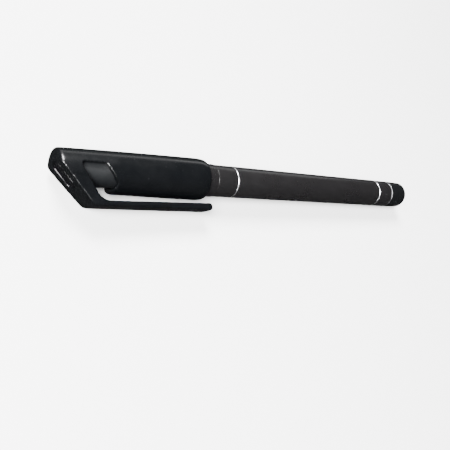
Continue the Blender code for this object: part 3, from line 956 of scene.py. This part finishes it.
def makeRings(name, finish, nodes):
    obj = blank(name, bmesh.new())
    rings = obj.modifiers.new("rings", "NODES")
    rings.node_group = ringTree(name, finish)
    for item in rings.node_group.interface.items_tree:
        if item.in_out == "INPUT" and item.name in ringSizes[name]:
            rings[item.identifier] = ringSizes[name][item.name]
    settled(obj)
    build = bmesh.new()
    build.from_mesh(obj.data)
    bmesh.ops.remove_doubles(build, verts=build.verts, dist=0.001)
    bmesh.ops.recalc_face_normals(build, faces=build.faces)
    build.to_mesh(obj.data)
    build.free()
    finished(obj, finish)
    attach(obj, "pen_body")
    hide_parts(*nodes)


makeRings("trimRings", "trim", ["front_trim_ring", "rear_trim_ring"])
makeRings("tailTrimRing", "dullTrim", ["tail_trim_ring"])
print("rings made")


# writing end and barrel: corners are (x, radius, rounding)
bodySizes = {
    "stopRing": [(44.92, 4.15, 0.05), (44.92, 4.95, 0.16), (47.93, 4.95, 0.14), (47.93, 4.15, 0.05)],
    "gripSection": [
        (16.0, 2.62, 0.05),
        (16.0, 3.2, 0.45),
        (23.5, 3.2, 0.3),
        (24.5, 4.1, 0.35),
        (39.0, 4.5, 8.0),
        (44.75, 4.5, 0.1),
        (44.75, 3.85, 0.05),
        (48.0, 3.85, 0.05),
        (48.0, 4.83, 0.12),
        (55.13, 4.83, 0.08),
        (55.13, 3.8, 0.1),
        (62.35, 3.8, 0.3),
        (62.35, 3.2, 0.1),
        (24.3, 3.2, 0.2),
        (24.3, 2.62, 0.05),
    ],
    "nibHolder": [(15.4, 1.7, 0.1), (15.4, 2.3, 0.35), (24.0, 2.3, 0.1), (24.0, 1.7, 0.1)],
    "barrelTube": [(55.67, 4.13, 0.1), (55.67, 4.83, 0.08), (123.23, 4.83, 0.08), (123.23, 4.13, 0.1)],
    "tailSleeve": [(123.77, 4.13, 0.1), (123.77, 4.83, 0.08), (130.86, 4.83, 0.08), (130.86, 4.13, 0.1)],
    "tailPlug": [
        (134.5, 0),
        (134.5, 2.85, 0.2),
        (118.0, 2.85, 0.1),
        (118.0, 3.75, 0.2),
        (131.34, 3.75, 0.1),
        (131.34, 4.83, 0.08),
        (138.7, 4.74),
    ],
    "tailRound": 1.8,
    "fibreNib": [
        (10.5, 0),
        (10.5, 0.5, 0.45),
        (13.1, 1.4, 1.2),
        (29.0, 1.4, 0.5),
        (31.0, 0.84, 0.2),
        (31.0, 0),
    ],
}
# name, finish, CAD node, slot and how many segments go round
tubes = (
    ("stopRing", "barrel", "cap_stop_ring", "barrel_plastic", 160),
    ("gripSection", "barrel", "front_section", "barrel_plastic", 160),
    ("nibHolder", "lining", "nib_holder", "lining_plastic", 96),
    ("barrelTube", "barrel", "barrel_tube", "barrel_plastic", 160),
    ("tailSleeve", "barrel", "tail_sleeve", "barrel_plastic", 160),
)


def makeBodyPiece(name, profile, finish, node, segments, ring=False):
    piece = finished(blank(name, turned(profile, segments, ring)), finish)
    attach(piece, "pen_body")
    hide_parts(node)


def makeBody():
    for name, finish, node, slotName, segments in tubes:
        makeBodyPiece(name, softened(bodySizes[name]), finish, node, segments, ring=True)
    # the tail's last corner is drawn as a quarter round
    cornerX, cornerRadius = bodySizes["tailPlug"][-1]
    rounding = bodySizes["tailRound"]
    tail = softened(bodySizes["tailPlug"], 5, closed=False)[:-1]
    tail += arcPoints((cornerX, cornerRadius - rounding), rounding, 90, 0, 16) + [(penLength, 0)]
    makeBodyPiece("tailPlug", tail, "tail", "tail_plug", 160)
    nib = softened(bodySizes["fibreNib"], closed=False)
    makeBodyPiece("fibreNib", nib, "nib", "fibre_nib", 96)


makeBody()
# the ink's rod and its film keep the CAD model's own meshes
for node, finish in (("ink_reservoir", "reservoir"), ("reservoir_film", "film")):
    frame["nodes"][node].material_slots[0].material = finishes[finish]
print("barrel, grip and nib made")


# floor, light and camera; the camera's place, aim and up are along the pen, in mm
stageSizes = {
    "floor": 3.0,
    "floorCells": 60,
    "sweepStart": 1.1,
    "sweepRise": 0.35,
    "camera": {
        "place": (-47.79, -133.64, -24.53),
        "aim": (42.37, -14.17, -14.61),
        "up": (-0.01394, -0.0723, 0.99728),
        "lens": 43.81,
    },
    "lights": {
        "key": {"place": (-0.52, -0.18, 0.60), "size": (0.4, 0.4), "power": 48.0},
        "top": {"place": (-0.20, 0.50, 0.60), "size": (0.3, 0.3), "power": 30.0},
        "back": {"place": (0.20, 0.95, 0.16), "size": (1.5, 0.22), "power": 1.6},
        "side": {"place": (-0.46, -0.60, 0.28), "size": (0.08, 0.30), "power": 2.6},
    },
    "sky": 0.05,
}


def makeStage():
    build = bmesh.new()
    cells = stageSizes["floorCells"]
    bmesh.ops.create_grid(build, x_segments=cells, y_segments=cells, size=stageSizes["floor"])
    for vert in build.verts:
        # the floor sweeps up far behind the pen on every side
        vert.co.z = stageSizes["sweepRise"] * max(0, vert.co.length - stageSizes["sweepStart"]) ** 2
    floor = blank("floor", build)
    floor.data.shade_smooth()
    floor.data.materials.append(finishes["floor"])
    floor.visible_glossy = False  # so that the black plastic doesn't mirror it
    for name, light in stageSizes["lights"].items():
        lamp = bpy.data.lights.new(name, "AREA")
        lamp.shape = "RECTANGLE"
        lamp.size, lamp.size_y = light["size"]
        lamp.energy = light["power"]
        holder = bpy.data.objects.new(name, lamp)
        bpy.context.scene.collection.objects.link(holder)
        holder.location = light["place"]
        holder.rotation_euler = (-Vector(light["place"])).to_track_quat("-Z", "Y").to_euler()
    world = bpy.data.worlds.new("studio")
    world.use_nodes = True
    sky = world.node_tree.nodes["Background"]
    sky.inputs["Color"].default_value = (1, 1, 1, 1)
    sky.inputs["Strength"].default_value = stageSizes["sky"]
    bpy.context.scene.world = world


def makeCamera():
    look = stageSizes["camera"]
    place, aim = mmToWorld @ Vector(look["place"]), mmToWorld @ Vector(look["aim"])
    up = (penMatrix.to_3x3() @ Vector(look["up"])).normalized()
    back = (place - aim).normalized()
    side = up.cross(back).normalized()
    turn = Matrix((side, back.cross(side), back)).transposed().to_4x4()
    lens = bpy.data.cameras.new("camera")
    lens.lens = look["lens"]
    lens.sensor_width = 36
    lens.clip_start = 0.005
    camera = bpy.data.objects.new("camera", lens)
    bpy.context.scene.collection.objects.link(camera)
    camera.matrix_world = Matrix.Translation(place) @ turn
    bpy.context.scene.camera = camera


makeStage()
makeCamera()
print("stage ready")
